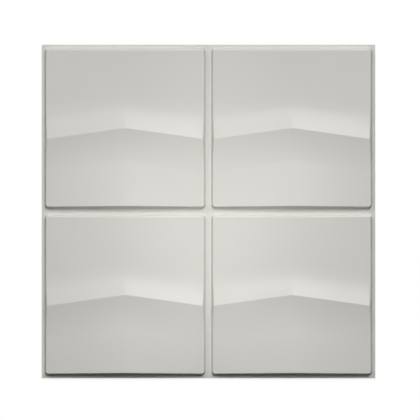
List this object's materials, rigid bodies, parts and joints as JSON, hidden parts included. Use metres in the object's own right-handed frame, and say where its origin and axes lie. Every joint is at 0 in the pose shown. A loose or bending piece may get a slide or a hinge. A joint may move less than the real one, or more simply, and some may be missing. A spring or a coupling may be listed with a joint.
{
  "type": "wall panel",
  "caption": "Square embossed plastic wall panel: thin formed sheet with raised square fields, each with a bent ridge between hollow flares, parted by flat glue channels, open at the back.",
  "frame": {"origin": "centre of the panel's outline on its back plane, the plane that lies on the wall", "axes": "+Z out of the wall through the face, +Y to the edge that is uppermost on the wall, +X to the right seen from the front; the panel lies flat on its back"},
  "size_m": [0.5, 0.5, 0.0114],
  "materials": {
    "panel_plastic": "satin off-white"
  },
  "bodies": {
    "root": {"wall_panel": "panel_plastic"}
  },
  "joints": []
}
